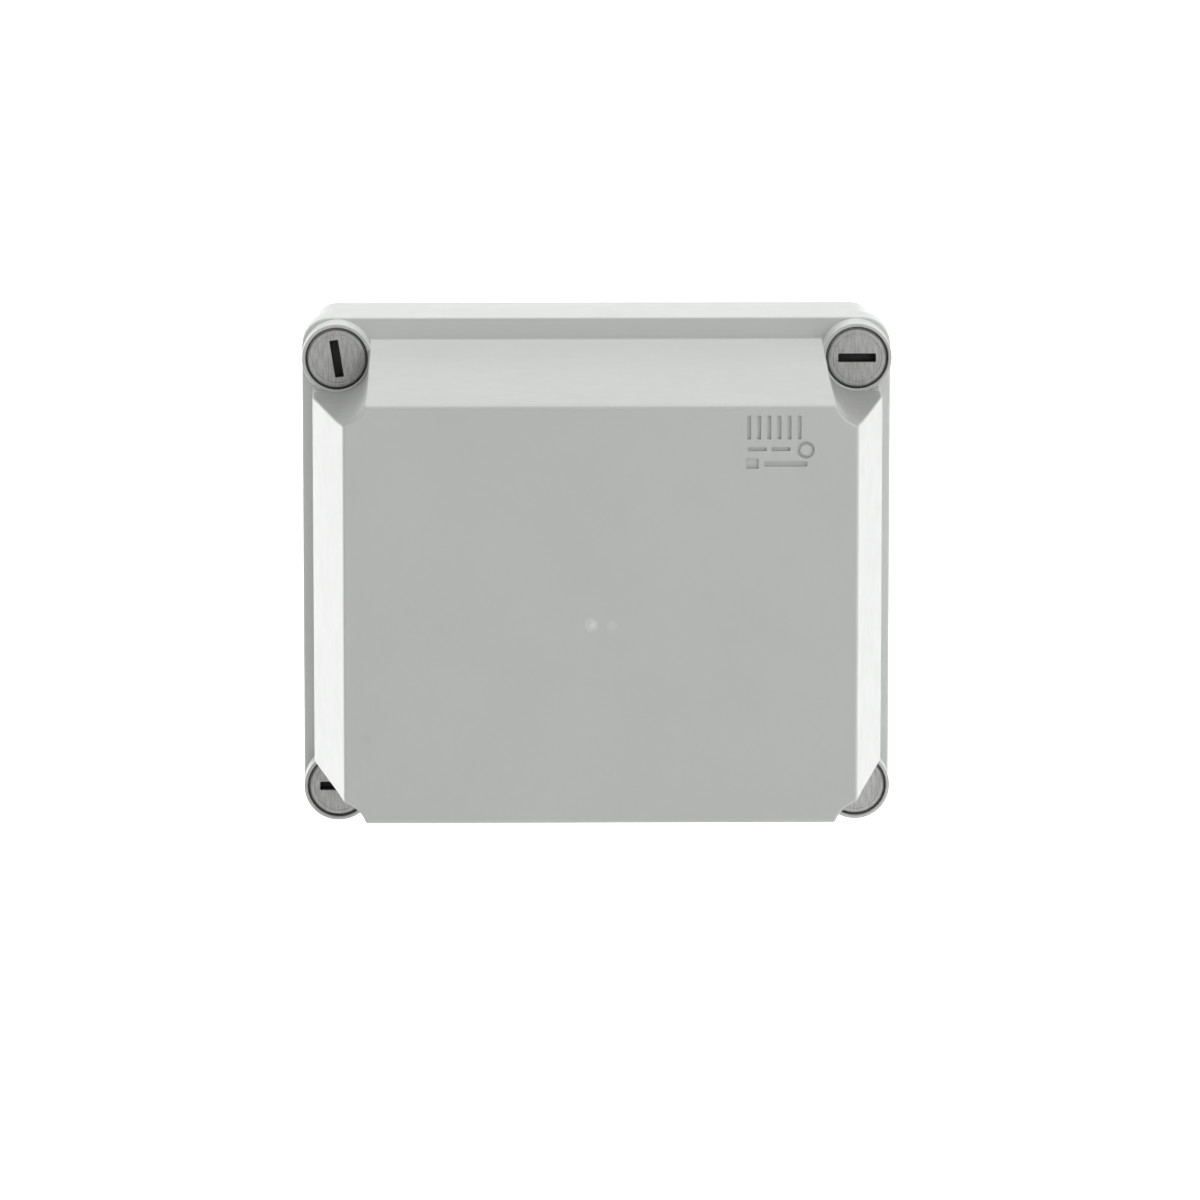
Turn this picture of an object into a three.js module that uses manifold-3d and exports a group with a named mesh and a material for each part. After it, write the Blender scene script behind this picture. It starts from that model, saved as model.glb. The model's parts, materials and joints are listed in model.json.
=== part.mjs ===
// Surface-mounted electrical junction box with a deep lid, held by four quarter-turn screws,
// with a rail of screw terminals inside. Millimetres, +Z up.
//
// The pieces are modelled in the wall's frame: X to the right, Y up the wall and Z out from the
// wall. The root group turns that frame upright, so the finished part has its origin at the
// middle of its wall face, +Z up, and its front towards -Y.

import * as THREE from 'three';
import { mergeVertices } from 'three/addons/utils/BufferGeometryUtils.js';
import Module from 'manifold-3d';

const wasm = await Module();
wasm.setup();

// ---------------------------------------------------------------- driving dimensions

// Gap between pieces that touch or slide on the real box.
const GAP = 0.3;

// How far a cutting piece runs past the surface that it cuts.
const PAST = 1;

// Base tray.
const BASE_WIDTH = 169;
const BASE_HEIGHT = 143;
const BASE_CORNER = 6;
const BASE_WALL = 3;
const BASE_FLOOR = 3;
const RIM_TOP = 57.3;
const RIM_STEP = 0.5;

// Lid: a flange with a skirt over the base, and a raised, tapered box on it.
const FLANGE_WIDTH = 175;
const FLANGE_HEIGHT = 150;
const FLANGE_CORNER = 8.3;
const SEAM = 50.5;
const FLANGE_TOP = 62.5;
const FLANGE_PLATE = 3;
const TOTAL_DEPTH = 150;
const LID_WALL = 3;
const LID_INSET = 3.4;
const RIB_DEPTH = 3.5;
const RIB_SIDE = 1.8;
const RIB_END = 3.5;
const RIB_AT_POST = 2;
const LID_LEVELS = [
  { z: FLANGE_TOP, halfX: 84.2, halfY: 68.4 },
  { z: 87.5, halfX: 83.9, halfY: 66.3 },
  { z: 148, halfX: 74.4, halfY: 61.2 },
  { z: TOTAL_DEPTH, halfX: 72.6, halfY: 59.4 },
];

// Corner screws, their bosses on the lid and their sockets in the base.
const SCREW_X = 77;
const SCREW_Y = 64.25;
const POCKET_RADIUS = 9.7;
const BOSS_RADIUS = 10.3;
const BOSS_TOP = FLANGE_TOP + 12;
const RECESS_RADIUS = 9.25;
const RECESS_FLOOR = 65.5;
const HEAD_RADIUS = 8.5;
const HEAD_TOP = 74.2;
const SHANK_RADIUS = 4;
const SHANK_CLEARANCE = 0.4;
const LUG_REACH = 5.2;
const SOCKET_RADIUS = 5.6;
const SOCKET_FLOOR = 25;
const POST_RADIUS = 12;
const SCREW_TIP = 32;
const COLLAR_REACH = 5;
const COLLAR_HEIGHT = 1.2;
const LUG_HALF_WIDTH = 1.7;
const LUG_HEIGHT = 4;
const LUG_ABOVE_TIP = 3;
const HEAD_CHAMFER = 0.5;
const SLOT_LENGTH = 11.2;
const SLOT_WIDTH = 2.65;
const SLOT_DEPTH = 3.2;

// Slot angles as the box stands, in degrees from level.
const LID_SCREWS = [
  { name: 'lid_screw_top_left', x: -SCREW_X, y: SCREW_Y, slotAngle: 99 },
  { name: 'lid_screw_top_right', x: SCREW_X, y: SCREW_Y, slotAngle: 0 },
  { name: 'lid_screw_bottom_left', x: -SCREW_X, y: -SCREW_Y, slotAngle: 0 },
  { name: 'lid_screw_bottom_right', x: SCREW_X, y: -SCREW_Y, slotAngle: 60 },
];

// Gasket between the rim of the base and the lid.
const GASKET_WIDTH = 2;
const GASKET_INSET = 0.8;

// Holes for the wall screws, and the caps that cover them.
const WALL_HOLE_X = 60;
const WALL_HOLE_Y = 48;
const WALL_HOLE_RADIUS = 2.75;
const CAP_RADIUS = 6.5;
const CAP_SEAT = 5;
const CAP_BOSS_RADIUS = 8.5;
const CAP_BOSS_TOP = 7;
const CAP_STEM_RADIUS = 2.35;
const CAP_STEM_BACK = 1.5;
const CAP_CROWN = 0.6;
const CAP_CHAMFER = 0.8;
const WALL_HOLES = [
  { name: 'wall_screw_cap_top_left', x: -WALL_HOLE_X, y: WALL_HOLE_Y },
  { name: 'wall_screw_cap_top_right', x: WALL_HOLE_X, y: WALL_HOLE_Y },
  { name: 'wall_screw_cap_bottom_left', x: -WALL_HOLE_X, y: -WALL_HOLE_Y },
  { name: 'wall_screw_cap_bottom_right', x: WALL_HOLE_X, y: -WALL_HOLE_Y },
];

// Top-hat rail, on two pillars.
const RAIL_LENGTH = 124;
const RAIL_FLANGE_HALF = 17.5;
const RAIL_WEB_HALF = 12.5;
const RAIL_SHEET = 1;
const RAIL_RISE = 7.5;
const RAIL_SLOT_RADIUS = 3.1;
const RAIL_SLOT_REACH = 4.4;
const PILLAR_X = 52;
const PILLAR_HALF_WIDTH = 8;
const PILLAR_HALF_HEIGHT = 12;
const PILLAR_TOP = 9;
const PILLAR_HOLE_RADIUS = 2.2;
const PILLAR_HOLE_BACK = 4;
const RAIL_SCREW = { shankRadius: 1.9, shankLength: 5.5, headRadius: 4.4, headHeight: 2.6 };
const RAIL_BACK = PILLAR_TOP + GAP;
const RAIL_FRONT = RAIL_BACK + RAIL_RISE;

// Screw terminals.
const FOOT_GRIP = 1;
const FOOT_DEPTH = 2.6;
const FOOT_REACH = 2.3;
const TERMINAL_THICKNESS = 8;
const TERMINAL_SIDE = 1.2;
const TERMINAL_HALF = 21.5;
const TERMINAL_TOP = 46;
const CLAMP_Y = 12.5;
const CLAMP_LENGTH = 6.4;
const CLAMP_X = 4.5;
const CHAMBER_FLOOR = 20.5;
const CHAMBER_TOP = 38.3;
const CLAMP_LEDGE = CHAMBER_TOP + 1;
const CLAMP_CLEARANCE = 0.5;
const DRIVER_RADIUS = 2.75;
const THREAD_RADIUS = 2.1;
const ENTRY_Z = 24.6;
const ENTRY_RADIUS = 2.4;
const ENTRY_MOUTH_RADIUS = 3.2;
const BAR_BACK = 27.8;
const BAR_SHEET = 1.6;
const BAR_HALF_WIDTH = 1.8;
const BAR_CLEARANCE = 0.6;
const YOKE_HALF_WIDTH = 3;
const YOKE_BACK = 20.9;
const YOKE_FRONT = 32.6;
const YOKE_WINDOW_BACK = 21.9;
const YOKE_WINDOW_FRONT = 30.8;
const CLAMP_SCREW_ANGLE = 25;
const CLAMP_SCREW = { shankRadius: 1.75, headRadius: 2.4, headHeight: 2.4 };
const END_PLATE_THICKNESS = 1.5;
const END_STOP_THICKNESS = 8;
const STOP_TOP = 36;
const STOP_COUNTERSINK_RADIUS = 3.2;
const STOP_COUNTERSINK = 31;
const STOP_HOLE_BACK = 19;
const STOP_SCREW = { shankRadius: 1.75, shankLength: 11, headRadius: 2.7, headHeight: 2.2 };
const TERMINALS = [
  { name: 'phase_terminal_1', colour: 0x9a9d98 },
  { name: 'phase_terminal_2', colour: 0x9a9d98 },
  { name: 'phase_terminal_3', colour: 0x9a9d98 },
  { name: 'neutral_terminal', colour: 0x2f62a8 },
  { name: 'earth_terminal', colour: 0x5f9e3a },
];
const STRIP_LENGTH = 2 * END_STOP_THICKNESS + TERMINALS.length * (TERMINAL_THICKNESS + GAP)
  + END_PLATE_THICKNESS + 2 * GAP;

// ---------------------------------------------------------------- materials

function plastic(colour, roughness) {
  return new THREE.MeshStandardMaterial({ color: colour, roughness, metalness: 0 });
}

function metal(colour, roughness) {
  return new THREE.MeshStandardMaterial({ color: colour, roughness, metalness: 1 });
}

const housingGrey = plastic(0xc9cbc9, 0.45);
const screwGrey = plastic(0xb9bbb8, 0.5);
const gasketRubber = plastic(0x2b2d2e, 0.85);
const capGrey = plastic(0xd4d5d2, 0.5);
const stopGrey = plastic(0x85888a, 0.55);
const zincPlate = metal(0xc5c8c9, 0.35);
const screwSteel = metal(0xb4b6b8, 0.3);
const tinnedCopper = metal(0xc9c2b4, 0.3);

// ---------------------------------------------------------------- solids

// A closed three.js geometry as a solid that can be joined and cut.
function solid(geometry) {
  geometry.deleteAttribute('normal');
  geometry.deleteAttribute('uv');
  const merged = mergeVertices(geometry, 1e-4);
  return new wasm.Manifold(new wasm.Mesh({
    numProp: 3,
    vertProperties: new Float32Array(merged.attributes.position.array),
    triVerts: new Uint32Array(merged.index.array),
  }));
}

// A solid back as a three.js geometry.
function toGeometry(body) {
  const mesh = body.getMesh();
  const geometry = new THREE.BufferGeometry();
  geometry.setAttribute('position', new THREE.BufferAttribute(mesh.vertProperties, 3));
  geometry.setIndex(new THREE.BufferAttribute(mesh.triVerts, 1));
  geometry.computeVertexNormals();
  return geometry;
}

// A box between two corners.
function block(x0, x1, y0, y1, z0, z1) {
  const geometry = new THREE.BoxGeometry(x1 - x0, y1 - y0, z1 - z0);
  geometry.translate((x0 + x1) / 2, (y0 + y1) / 2, (z0 + z1) / 2);
  return solid(geometry);
}

// A round bar along Z.
function roundBar(x, y, radius, z0, z1, segments = 24) {
  const geometry = new THREE.CylinderGeometry(radius, radius, z1 - z0, segments);
  geometry.rotateX(Math.PI / 2);
  geometry.translate(x, y, (z0 + z1) / 2);
  return solid(geometry);
}

// A turned piece on the Z axis from [radius, z] points, lowest first.
function turned(profile, segments) {
  const points = profile.map(([radius, z]) => new THREE.Vector2(radius, z));
  const geometry = new THREE.LatheGeometry(points, segments);
  geometry.rotateX(Math.PI / 2);
  return solid(geometry);
}

// A flat outline raised from z0 to z1.
function raise(shape, z0, z1) {
  const settings = { depth: z1 - z0, bevelEnabled: false, curveSegments: 6 };
  const geometry = new THREE.ExtrudeGeometry(shape, settings);
  geometry.translate(0, 0, z0);
  return solid(geometry);
}

// A centred block with rounded corners.
function roundedBlock(width, height, corner, z0, z1) {
  const x = width / 2 - corner;
  const y = height / 2 - corner;
  const shape = new THREE.Shape();
  shape.absarc(x, -y, corner, -Math.PI / 2, 0, false);
  shape.absarc(x, y, corner, 0, Math.PI / 2, false);
  shape.absarc(-x, y, corner, Math.PI / 2, Math.PI, false);
  shape.absarc(-x, -y, corner, Math.PI, 1.5 * Math.PI, false);
  shape.closePath();
  return raise(shape, z0, z1);
}

// A stack of centred rectangles, one at each level, joined by straight sides.
function stackedBlock(levels) {
  const steps = levels.length - 1;
  const geometry = new THREE.BoxGeometry(2, 2, 1, 1, 1, steps);
  const position = geometry.attributes.position;
  for (let i = 0; i < position.count; i += 1) {
    const level = levels[Math.round((position.getZ(i) + 0.5) * steps)];
    position.setXYZ(i, position.getX(i) * level.halfX, position.getY(i) * level.halfY, level.z);
  }
  return solid(geometry);
}

// The same piece at several places, as one solid.
function atPlaces(places, make) {
  return places.map(({ x, y }) => make(x, y)).reduce((all, one) => all.add(one));
}

function cornerPosts(radius, z0, z1) {
  return atPlaces(LID_SCREWS, (x, y) => roundBar(x, y, radius, z0, z1));
}

// The space outside a corner pocket's wall: round about the screw, then straight out.
function pocketSpace(x, y, radius, z0, z1) {
  const sideX = Math.sign(x);
  const sideY = Math.sign(y);
  const beyond = 100;
  const arc = new THREE.EllipseCurve(SCREW_X, SCREW_Y, radius, radius, Math.PI, 1.5 * Math.PI);
  const outline = arc.getPoints(8);
  outline.push(new THREE.Vector2(beyond, SCREW_Y - radius));
  outline.push(new THREE.Vector2(beyond, beyond));
  outline.push(new THREE.Vector2(SCREW_X - radius, beyond));
  const mirrored = outline.map((point) => new THREE.Vector2(sideX * point.x, sideY * point.y));
  return raise(new THREE.Shape(mirrored), z0, z1);
}

function cornerPockets(radius, z0, z1) {
  return atPlaces(LID_SCREWS, (x, y) => pocketSpace(x, y, radius, z0, z1));
}

// A centred block whose corners are cut back around the screw posts.
function notchedBlock(halfX, halfY, postRadius, z0, z1) {
  const posts = cornerPosts(postRadius, z0 - PAST, z1 + PAST);
  return block(-halfX, halfX, -halfY, halfY, z0, z1).subtract(posts);
}

// ---------------------------------------------------------------- casings

const INNER_X = BASE_WIDTH / 2 - BASE_WALL;
const INNER_Y = BASE_HEIGHT / 2 - BASE_WALL;
const PLATE_BACK = FLANGE_TOP - FLANGE_PLATE;
const RIM_WIDTH = BASE_WIDTH - 2 * RIM_STEP;
const RIM_HEIGHT = BASE_HEIGHT - 2 * RIM_STEP;
const RIM_CORNER = BASE_CORNER - RIM_STEP;
const RIM_FOOT = SEAM - GAP;

// The base's rim is set back a little where the lid's skirt goes round it.
function baseShell() {
  const above = RIM_TOP + PAST;
  const wallHoles = (radius, z0, z1, segments) => atPlaces(
    WALL_HOLES, (x, y) => roundBar(x, y, radius, z0, z1, segments));
  const outside = roundedBlock(BASE_WIDTH, BASE_HEIGHT, BASE_CORNER, 0, RIM_FOOT)
    .add(roundedBlock(RIM_WIDTH, RIM_HEIGHT, RIM_CORNER, RIM_FOOT - PAST, RIM_TOP));
  const inside = notchedBlock(INNER_X, INNER_Y, POST_RADIUS, BASE_FLOOR, above);
  let shell = outside
    .subtract(inside)
    .subtract(cornerPosts(SOCKET_RADIUS, SOCKET_FLOOR, above))
    .add(wallHoles(CAP_BOSS_RADIUS, BASE_FLOOR - PAST, CAP_BOSS_TOP, 12))
    .subtract(wallHoles(CAP_RADIUS + GAP, CAP_SEAT, CAP_BOSS_TOP + PAST, 16))
    .subtract(wallHoles(WALL_HOLE_RADIUS, -PAST, CAP_SEAT + PAST, 12));
  for (const x of [-PILLAR_X, PILLAR_X]) {
    const pillar = block(
      x - PILLAR_HALF_WIDTH, x + PILLAR_HALF_WIDTH,
      -PILLAR_HALF_HEIGHT, PILLAR_HALF_HEIGHT,
      BASE_FLOOR - PAST, PILLAR_TOP,
    );
    const hole = roundBar(x, 0, PILLAR_HOLE_RADIUS, PILLAR_HOLE_BACK, PILLAR_TOP + PAST, 12);
    shell = shell.add(pillar).subtract(hole);
  }
  return shell;
}

// The lid's levels moved in by the wall's thickness, from the back plane to the front one.
function innerLevels(back, front) {
  const levels = LID_LEVELS.map(({ z, halfX, halfY }) => (
    { z, halfX: halfX - LID_INSET, halfY: halfY - LID_INSET }));
  const rounding = TOTAL_DEPTH - LID_LEVELS[LID_LEVELS.length - 2].z;
  levels[0].z = back;
  levels[levels.length - 2].z = front - rounding;
  levels[levels.length - 1].z = front;
  return levels;
}

// The rib on the lid's back that reaches into the base, inside the gasket.
function lidRib() {
  const back = PLATE_BACK - RIB_DEPTH;
  const halfX = INNER_X - GAP;
  const halfY = INNER_Y - GAP;
  const radius = POST_RADIUS + GAP;
  const middle = notchedBlock(
    halfX - RIB_SIDE, halfY - RIB_END, radius + RIB_AT_POST, back - PAST, FLANGE_TOP);
  return notchedBlock(halfX, halfY, radius, back, FLANGE_TOP - PAST).subtract(middle);
}

function lidShell() {
  const beyond = TOTAL_DEPTH + PAST;
  const foot = { ...LID_LEVELS[0], z: FLANGE_TOP - PAST };
  const raised = stackedBlock([foot, ...LID_LEVELS.slice(1)])
    .subtract(cornerPockets(POCKET_RADIUS, FLANGE_TOP, beyond));
  const outside = roundedBlock(FLANGE_WIDTH, FLANGE_HEIGHT, FLANGE_CORNER, SEAM, FLANGE_TOP)
    .add(raised)
    .add(cornerPosts(BOSS_RADIUS, SEAM, BOSS_TOP));

  const skirtSpace = roundedBlock(
    RIM_WIDTH + 2 * GAP, RIM_HEIGHT + 2 * GAP, RIM_CORNER + GAP, SEAM - PAST, PLATE_BACK);
  const raisedSpace = stackedBlock(innerLevels(PLATE_BACK - PAST, TOTAL_DEPTH - LID_WALL))
    .subtract(cornerPockets(POCKET_RADIUS + LID_WALL, PLATE_BACK - 2 * PAST, TOTAL_DEPTH));
  return outside
    .subtract(skirtSpace)
    .subtract(raisedSpace)
    .add(lidRib())
    .subtract(cornerPosts(RECESS_RADIUS, RECESS_FLOOR, BOSS_TOP + PAST))
    .subtract(cornerPosts(SHANK_RADIUS + SHANK_CLEARANCE, SEAM, RECESS_FLOOR + PAST));
}

function lidGasket() {
  const back = RIM_TOP + GAP;
  const front = PLATE_BACK - GAP;
  const halfX = BASE_WIDTH / 2 - GASKET_INSET;
  const halfY = BASE_HEIGHT / 2 - GASKET_INSET;
  const innerPost = POST_RADIUS - GAP;
  const outside = notchedBlock(halfX, halfY, innerPost - GASKET_WIDTH, back, front);
  const inside = notchedBlock(
    halfX - GASKET_WIDTH, halfY - GASKET_WIDTH, innerPost, back - PAST, front + PAST);
  return outside.subtract(inside);
}

// ---------------------------------------------------------------- fasteners of the box

function lidScrew(slotAngle) {
  const collar = PLATE_BACK - GAP;
  const neck = RECESS_FLOOR + GAP;
  const lugBack = SCREW_TIP + LUG_ABOVE_TIP;
  const body = turned([
    [0, SCREW_TIP],
    [SHANK_RADIUS, SCREW_TIP],
    [SHANK_RADIUS, collar - COLLAR_HEIGHT],
    [COLLAR_REACH, collar - COLLAR_HEIGHT],
    [COLLAR_REACH, collar],
    [SHANK_RADIUS, collar],
    [SHANK_RADIUS, neck],
    [HEAD_RADIUS, neck],
    [HEAD_RADIUS, HEAD_TOP - HEAD_CHAMFER],
    [HEAD_RADIUS - HEAD_CHAMFER, HEAD_TOP],
    [0, HEAD_TOP],
  ], 20);
  const lugs = block(
    -LUG_REACH, LUG_REACH,
    -LUG_HALF_WIDTH, LUG_HALF_WIDTH,
    lugBack, lugBack + LUG_HEIGHT,
  );
  const slot = block(
    -SLOT_LENGTH / 2, SLOT_LENGTH / 2,
    -SLOT_WIDTH / 2, SLOT_WIDTH / 2,
    HEAD_TOP - SLOT_DEPTH, HEAD_TOP + PAST,
  );
  return body.add(lugs).subtract(slot).rotate([0, 0, slotAngle]);
}

function wallHoleCap() {
  const seat = CAP_SEAT + GAP;
  const front = CAP_BOSS_TOP + CAP_CROWN;
  return turned([
    [0, CAP_STEM_BACK],
    [CAP_STEM_RADIUS, CAP_STEM_BACK],
    [CAP_STEM_RADIUS, seat],
    [CAP_RADIUS, seat],
    [CAP_RADIUS, CAP_BOSS_TOP],
    [CAP_RADIUS - CAP_CHAMFER, front],
    [0, front],
  ], 12);
}

// A slotted pan-head screw whose head rests at z = 0.
function panScrew({ shankRadius, shankLength, headRadius, headHeight }) {
  const slotHalfWidth = 0.4;
  const reach = headRadius + PAST;
  const body = turned([
    [0, -shankLength],
    [shankRadius, -shankLength],
    [shankRadius, 0],
    [headRadius, 0],
    [headRadius, headHeight * 0.7],
    [headRadius * 0.85, headHeight],
    [0, headHeight],
  ], 10);
  const slot = block(
    -reach, reach, -slotHalfWidth, slotHalfWidth, headHeight * 0.45, headHeight + PAST);
  return body.subtract(slot);
}

// ---------------------------------------------------------------- rail and terminals

// An outline in the Y-Z plane, mirrored about Y = 0, made thick along +X.
function crossSection(halfOutline, thickness) {
  const right = halfOutline.map(([y, z]) => new THREE.Vector2(y, z));
  const left = halfOutline.map(([y, z]) => new THREE.Vector2(-y, z)).reverse();
  const outline = right.concat(left)
    .filter((point, i, all) => !point.equals(all[(i + 1) % all.length]));
  const settings = { depth: thickness, bevelEnabled: false };
  const geometry = new THREE.ExtrudeGeometry(new THREE.Shape(outline), settings);
  geometry.rotateY(Math.PI / 2);
  geometry.rotateX(Math.PI / 2);
  return solid(geometry);
}

function dinRail() {
  const sheet = RAIL_SHEET;
  const outline = [
    [0, RAIL_BACK],
    [RAIL_WEB_HALF, RAIL_BACK],
    [RAIL_WEB_HALF, RAIL_FRONT - sheet],
    [RAIL_FLANGE_HALF, RAIL_FRONT - sheet],
    [RAIL_FLANGE_HALF, RAIL_FRONT],
    [RAIL_WEB_HALF - sheet, RAIL_FRONT],
    [RAIL_WEB_HALF - sheet, RAIL_BACK + sheet],
    [0, RAIL_BACK + sheet],
  ];
  let rail = crossSection(outline, RAIL_LENGTH).translate([-RAIL_LENGTH / 2, 0, 0]);
  const back = RAIL_BACK - PAST;
  const front = RAIL_BACK + sheet + PAST;
  for (const x of [-PILLAR_X, -PILLAR_X / 2, 0, PILLAR_X / 2, PILLAR_X]) {
    const x0 = x - RAIL_SLOT_REACH;
    const x1 = x + RAIL_SLOT_REACH;
    rail = rail
      .subtract(block(x0, x1, -RAIL_SLOT_RADIUS, RAIL_SLOT_RADIUS, back, front))
      .subtract(roundBar(x0, 0, RAIL_SLOT_RADIUS, back, front, 8))
      .subtract(roundBar(x1, 0, RAIL_SLOT_RADIUS, back, front, 8));
  }
  return rail;
}

// The foot that grips the rail, up to the shoulder of a piece on it.
const RAIL_FOOT = [
  [0, RAIL_FRONT + GAP],
  [RAIL_FLANGE_HALF + GAP, RAIL_FRONT + GAP],
  [RAIL_FLANGE_HALF + GAP, RAIL_FRONT - RAIL_SHEET - GAP],
  [RAIL_FLANGE_HALF - FOOT_GRIP, RAIL_FRONT - RAIL_SHEET - GAP],
  [RAIL_FLANGE_HALF - FOOT_GRIP, RAIL_FRONT - FOOT_DEPTH],
  [RAIL_FLANGE_HALF + FOOT_REACH, RAIL_FRONT - FOOT_DEPTH],
];

const TERMINAL_OUTLINE = [
  ...RAIL_FOOT,
  [TERMINAL_HALF, RAIL_FRONT + 1],
  [TERMINAL_HALF, 32],
  [18.2, 41.5],
  [6, 44],
  [6, TERMINAL_TOP],
  [0, TERMINAL_TOP],
];

const STOP_OUTLINE = [
  ...RAIL_FOOT,
  [TERMINAL_HALF - 2, RAIL_FRONT + 1],
  [TERMINAL_HALF - 2, 27],
  [12, STOP_TOP],
  [0, STOP_TOP],
];

// A wire entry along Y, wider at its mouth.
function wireEntry(side) {
  const depth = TERMINAL_HALF - CLAMP_Y;
  const geometry = new THREE.CylinderGeometry(ENTRY_MOUTH_RADIUS, ENTRY_RADIUS, depth, 12);
  if (side < 0) {
    geometry.rotateX(Math.PI);
  }
  geometry.translate(CLAMP_X, side * (CLAMP_Y + depth / 2 + 0.01), ENTRY_Z);
  return solid(geometry);
}

// A terminal's housing: closed at its left side, open at its right where the clamps go in.
function terminalHousing() {
  const open = TERMINAL_THICKNESS + PAST;
  const half = CLAMP_LENGTH / 2 + CLAMP_CLEARANCE;
  const barBack = BAR_BACK - BAR_CLEARANCE;
  const barFront = BAR_BACK + BAR_SHEET + BAR_CLEARANCE;
  let body = crossSection(TERMINAL_OUTLINE, TERMINAL_THICKNESS)
    .subtract(block(TERMINAL_SIDE, open, -CLAMP_Y, CLAMP_Y, barBack, barFront));
  for (const side of [-1, 1]) {
    const y = side * CLAMP_Y;
    body = body
      .subtract(block(TERMINAL_SIDE, open, y - half, y + half, CHAMBER_FLOOR, CHAMBER_TOP))
      .subtract(roundBar(CLAMP_X, y, THREAD_RADIUS, CHAMBER_TOP - PAST, TERMINAL_TOP, 12))
      .subtract(roundBar(CLAMP_X, y, DRIVER_RADIUS, CLAMP_LEDGE, TERMINAL_TOP, 12))
      .subtract(wireEntry(side));
  }
  return body;
}

function currentBar() {
  const reach = CLAMP_Y + CLAMP_LENGTH / 2 - BAR_CLEARANCE;
  return block(
    CLAMP_X - BAR_HALF_WIDTH, CLAMP_X + BAR_HALF_WIDTH,
    -reach, reach,
    BAR_BACK, BAR_BACK + BAR_SHEET,
  );
}

// A rising clamp: a square ring about the bar, with the clamp screw through its front side.
function clampYoke(side) {
  const y = side * CLAMP_Y;
  const half = CLAMP_LENGTH / 2;
  const ring = block(
    CLAMP_X - YOKE_HALF_WIDTH, CLAMP_X + YOKE_HALF_WIDTH,
    y - half, y + half,
    YOKE_BACK, YOKE_FRONT,
  );
  const inside = block(
    CLAMP_X - THREAD_RADIUS, CLAMP_X + THREAD_RADIUS,
    y - half - PAST, y + half + PAST,
    YOKE_WINDOW_BACK, YOKE_WINDOW_FRONT,
  );
  const hole = roundBar(CLAMP_X, y, THREAD_RADIUS, YOKE_WINDOW_FRONT - PAST, YOKE_FRONT + PAST, 12);
  return ring.subtract(inside).subtract(hole);
}

// The clamp screw turns in place, so it ends just short of the bar.
function clampScrew(side) {
  const head = CLAMP_LEDGE + GAP;
  const shankLength = head - BAR_BACK - BAR_SHEET - GAP;
  return panScrew({ ...CLAMP_SCREW, shankLength })
    .rotate([0, 0, CLAMP_SCREW_ANGLE])
    .translate([CLAMP_X, side * CLAMP_Y, head]);
}

function endPlate() {
  return crossSection(TERMINAL_OUTLINE, END_PLATE_THICKNESS);
}

function endStop() {
  const middle = END_STOP_THICKNESS / 2;
  return crossSection(STOP_OUTLINE, END_STOP_THICKNESS)
    .subtract(roundBar(middle, 0, STOP_COUNTERSINK_RADIUS, STOP_COUNTERSINK, STOP_TOP + PAST, 12))
    .subtract(roundBar(middle, 0, THREAD_RADIUS, STOP_HOLE_BACK, STOP_COUNTERSINK + PAST, 12));
}

// ---------------------------------------------------------------- assembly

const box = new THREE.Group();
box.rotation.x = Math.PI / 2;

function place(name, body, material, parent = box, x = 0, y = 0, z = 0) {
  const mesh = new THREE.Mesh(toGeometry(body), material);
  mesh.name = name;
  mesh.position.set(x, y, z);
  parent.add(mesh);
  return mesh;
}

place('base_shell', baseShell(), housingGrey);
place('lid_shell', lidShell(), housingGrey);
place('lid_gasket', lidGasket(), gasketRubber);

for (const { name, x, y, slotAngle } of LID_SCREWS) {
  place(name, lidScrew(slotAngle), screwGrey, box, x, y);
}

for (const { name, x, y } of WALL_HOLES) {
  place(name, wallHoleCap(), capGrey, box, x, y);
}

place('din_rail', dinRail(), zincPlate);
for (const [side, x] of [['left', -PILLAR_X], ['right', PILLAR_X]]) {
  const seat = RAIL_BACK + RAIL_SHEET + GAP;
  place(`rail_screw_${side}`, panScrew(RAIL_SCREW), screwSteel, box, x, 0, seat);
}

const strip = new THREE.Group();
strip.position.x = -STRIP_LENGTH / 2;
box.add(strip);
let along = 0;

function placeEndStop(side) {
  place(`end_stop_${side}`, endStop(), stopGrey, strip, along);
  const screwX = along + END_STOP_THICKNESS / 2;
  const seat = STOP_COUNTERSINK + GAP;
  place(`end_stop_screw_${side}`, panScrew(STOP_SCREW), screwSteel, strip, screwX, 0, seat);
  along += END_STOP_THICKNESS + GAP;
}

placeEndStop('left');
for (const { name, colour } of TERMINALS) {
  place(name, terminalHousing(), plastic(colour, 0.5), strip, along);
  place(`${name}_bar`, currentBar(), tinnedCopper, strip, along);
  for (const [row, side] of [['upper', 1], ['lower', -1]]) {
    place(`${name}_yoke_${row}`, clampYoke(side), zincPlate, strip, along);
    place(`${name}_screw_${row}`, clampScrew(side), screwSteel, strip, along);
  }
  along += TERMINAL_THICKNESS + GAP;
}
place('end_plate', endPlate(), stopGrey, strip, along);
along += END_PLATE_THICKNESS + GAP;
placeEndStop('right');

export default box;
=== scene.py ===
"""Looks of a surface-mounted junction box with a deep lid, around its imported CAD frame.

Shapes are written in the wall's frame, in millimetres: x to the right, y up the wall and depth
out from the wall. place() turns that into the row frame, in metres, where depth runs along -Y.
"""

import json
import math
from collections import namedtuple

import bmesh
import bpy
from mathutils import Matrix, Vector

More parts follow.
